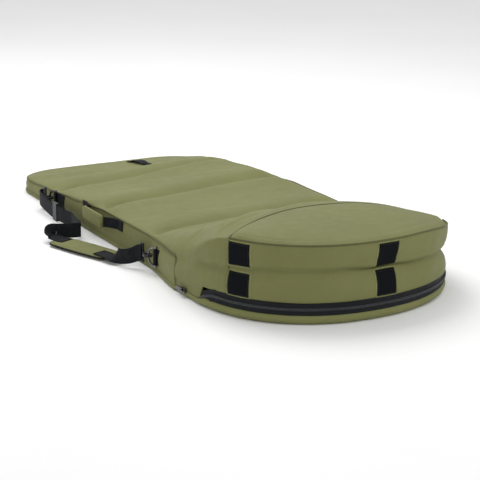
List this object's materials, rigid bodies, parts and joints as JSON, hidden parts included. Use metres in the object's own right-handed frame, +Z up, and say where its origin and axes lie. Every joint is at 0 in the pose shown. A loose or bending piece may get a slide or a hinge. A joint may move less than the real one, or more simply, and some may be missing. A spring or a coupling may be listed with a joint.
{
  "type": "padded board bag",
  "caption": "Padded olive travel bag for a short board, lying flat, with a deep zip-opening nose, a foldable gusset, a side grab handle and a clip-on shoulder strap.",
  "frame": {"origin": "on the floor, on the bag's centre line, under the crease where the flat body meets the nose", "axes": "+Y along the bag towards its tail, +X to the side away from the handle and strap, +Z up"},
  "size_m": [0.7203, 1.3545, 0.1789],
  "materials": {
    "cloth": "coated woven nylon, olive green",
    "webbing": "black woven webbing and hook-and-loop tape",
    "lining": "grey lining cloth",
    "foam": "closed-cell padding foam",
    "black_plastic": "moulded acetal, satin",
    "dark_metal": "black-coated zinc alloy"
  },
  "bodies": {
    "shell": {"base_cover": "cloth", "base_foam": "foam", "base_lining": "lining", "base_rim": "cloth", "side_wall_right": "cloth", "side_wall_left": "cloth", "tail_wall": "cloth", "body_welt": "cloth", "front_top_cover": "cloth", "front_top_foam": "foam", "middle_top_cover": "cloth", "middle_top_foam": "foam", "tail_top_cover": "cloth", "tail_top_foam": "foam", "body_top_lining": "lining", "shoulder_rear_cover": "cloth", "shoulder_rear_foam": "foam", "zip_tape_lower": "webbing", "zip_teeth_lower": "black_plastic", "handle_foot_front": "webbing", "handle_foot_rear": "webbing", "haul_strap": "webbing", "front_tab": "webbing", "rear_tab": "webbing", "front_hook": "black_plastic", "rear_hook": "black_plastic"},
    "nose_lid": {"lower_gusset": "cloth", "zip_teeth_upper": "black_plastic", "zip_tape_upper": "webbing", "shoulder_side_left": "cloth", "shoulder_side_right": "cloth", "shoulder_front_cover": "cloth", "shoulder_front_foam": "foam", "loop_patch_left": "webbing", "loop_patch_centre": "webbing", "loop_patch_right": "webbing"},
    "nose_cap": {"cap_cover": "cloth", "cap_foam": "foam", "cap_welt": "cloth", "upper_gusset": "cloth", "hook_patch_left": "webbing", "hook_patch_centre": "webbing", "hook_patch_right": "webbing"},
    "zip_slider": {"zip_slider": "dark_metal"},
    "zip_pull": {"zip_pull": "dark_metal"},
    "grab_handle": {"handle_webbing": "webbing", "handle_grip": "cloth"},
    "front_ring": {"front_ring": "dark_metal"},
    "rear_ring": {"rear_ring": "dark_metal"},
    "front_gate": {"front_gate": "dark_metal"},
    "rear_gate": {"rear_gate": "dark_metal"},
    "shoulder_strap": {"shoulder_pad": "cloth", "strap_front_webbing": "webbing", "strap_rear_webbing": "webbing", "strap_adjuster": "black_plastic", "strap_pad_tongue": "webbing", "front_strap_eye": "black_plastic", "rear_strap_eye": "black_plastic"}
  },
  "joints": [
    {"name": "lid_open", "type": "hinge", "parent": "shell", "child": "nose_lid", "pos_m": [0, -0.1855, 0.1575], "axis": [-1, 0, 0], "range_deg": [0, 70]},
    {"name": "cap_pack", "type": "slide", "parent": "nose_lid", "child": "nose_cap", "axis": [0, 0, -1], "range_m": [0, 0.03], "deforming": ["upper_gusset", "hook_patch_left", "hook_patch_centre", "hook_patch_right"]},
    {"name": "zip_slide", "type": "slide", "parent": "shell", "child": "zip_slider", "axis": [0, -1, 0], "range_m": [0, 0.035]},
    {"name": "pull_swing", "type": "hinge", "parent": "zip_slider", "child": "zip_pull", "pos_m": [-0.3075, -0.23, 0.015], "axis": [0, 0, 1], "range_deg": [0, 170]},
    {"name": "handle_lift", "type": "hinge", "parent": "shell", "child": "grab_handle", "pos_m": [-0.2763, 0.2, 0.073], "axis": [0, 1, 0], "range_deg": [0, 75]},
    {"name": "front_ring_swing", "type": "hinge", "parent": "shell", "child": "front_ring", "pos_m": [-0.28736, -0.0663, 0.041], "axis": [0, 0, 1], "range_deg": [-6, 5]},
    {"name": "rear_ring_swing", "type": "hinge", "parent": "shell", "child": "rear_ring", "pos_m": [-0.2805, 0.5127, 0.033], "axis": [0, 0, 1], "range_deg": [-6, 5]},
    {"name": "front_gate_open", "type": "hinge", "parent": "shell", "child": "front_gate", "pos_m": [-0.30527, -0.03974, 0.041], "axis": [0, 0, 1], "range_deg": [0, 20], "stiffness_Nm_per_rad": 0.02},
    {"name": "rear_gate_open", "type": "hinge", "parent": "shell", "child": "rear_gate", "pos_m": [-0.29842, 0.53926, 0.033], "axis": [0, 0, 1], "range_deg": [0, 20], "stiffness_Nm_per_rad": 0.02},
    {"name": "strap_lift", "type": "hinge", "parent": "shell", "child": "shoulder_strap", "pos_m": [-0.2964, -0.02361, 0.041], "axis": [0.0118, 0.9998, -0.0138], "range_deg": [0, 30]}
  ]
}
